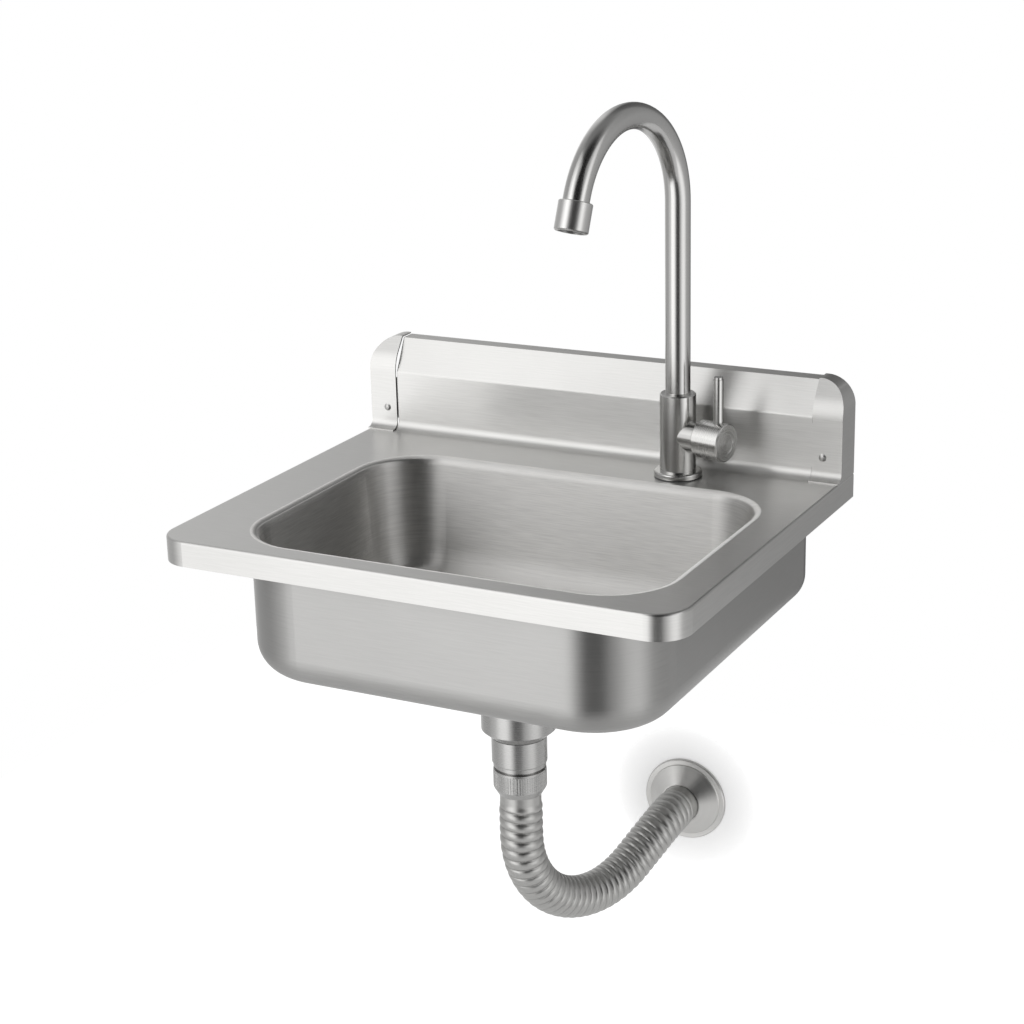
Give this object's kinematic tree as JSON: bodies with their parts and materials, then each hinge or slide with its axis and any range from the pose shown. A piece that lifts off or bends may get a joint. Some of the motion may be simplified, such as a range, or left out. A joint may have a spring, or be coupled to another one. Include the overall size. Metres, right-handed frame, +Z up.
{
  "type": "hand wash sink",
  "caption": "Wall hung hand wash sink: rounded bowl in a folded deck with splash upstand, swan neck tap with side lever valve, strainer waste and ribbed drain pipe into the wall.",
  "frame": {"origin": "on the wall plane, midway between the two screw holes of the wall rail, 45 mm above the deck's top", "axes": "+X to the user's right along the wall, +Y into the wall, +Z up"},
  "size_m": [0.43, 0.398, 0.6791],
  "materials": {
    "satin_steel": "fine brushed sheet, low sheen",
    "fine_steel": "satin ground tube and bar, brighter than the sheet",
    "hose_steel": "drawn ribbed pipe, satin",
    "plain_steel": "mill finish",
    "rivet": "plain",
    "brass": "turned",
    "rubber": "moulded",
    "white_plastic": "moulded",
    "black_plastic": "moulded",
    "grey_plastic": "drawn pipe"
  },
  "bodies": {
    "sink": {"deck_shell": "satin_steel", "end_cap_left": "satin_steel", "end_cap_right": "satin_steel", "cap_rivets": "rivet", "wall_rail": "plain_steel", "bowl": "satin_steel", "skirt": "satin_steel", "tap_plate": "plain_steel", "tap_body": "fine_steel", "tap_gasket": "rubber", "tap_foot": "fine_steel", "tap_shank": "brass", "tap_washer": "plain_steel", "tap_nut": "brass", "supply_tail": "fine_steel", "tail_nut": "brass", "supply_union": "brass", "spout_bush": "white_plastic", "spout_seal": "rubber", "spout_gland": "fine_steel", "valve_cartridge": "brass", "cartridge_nut": "brass", "waste_cup": "satin_steel", "neck_collar": "fine_steel", "waste_gasket": "rubber", "waste_washer": "white_plastic", "waste_nut": "black_plastic", "hose_nut": "fine_steel", "hose_seal": "rubber", "drain_hose": "hose_steel", "wall_rosette": "satin_steel", "wall_sleeve": "grey_plastic", "wall_seal": "rubber"},
    "spout": {"spout_tube": "fine_steel", "spout_clip": "plain_steel", "outlet_collar": "fine_steel", "outlet_seal": "rubber", "outlet_screen": "black_plastic"},
    "valve_handle": {"valve_handle": "fine_steel", "valve_spindle": "brass", "lever_pin": "fine_steel", "grub_screw": "plain_steel"},
    "basket": {"strainer_basket": "satin_steel", "basket_knob": "black_plastic"}
  },
  "joints": [
    {"name": "spout_swivel", "type": "hinge", "parent": "sink", "child": "spout", "pos_m": [0.088, -0.061, 0.024], "axis": [0, 0, 1], "range_deg": [-93, 106]},
    {"name": "handle_turn", "type": "hinge", "parent": "sink", "child": "valve_handle", "pos_m": [0.088, -0.061, -0.01], "axis": [0.9763, -0.2164, 0], "range_deg": [0, 90]},
    {"name": "basket_lift", "type": "slide", "parent": "sink", "child": "basket", "axis": [0, 0, 1], "range_m": [0, 0.15]}
  ]
}
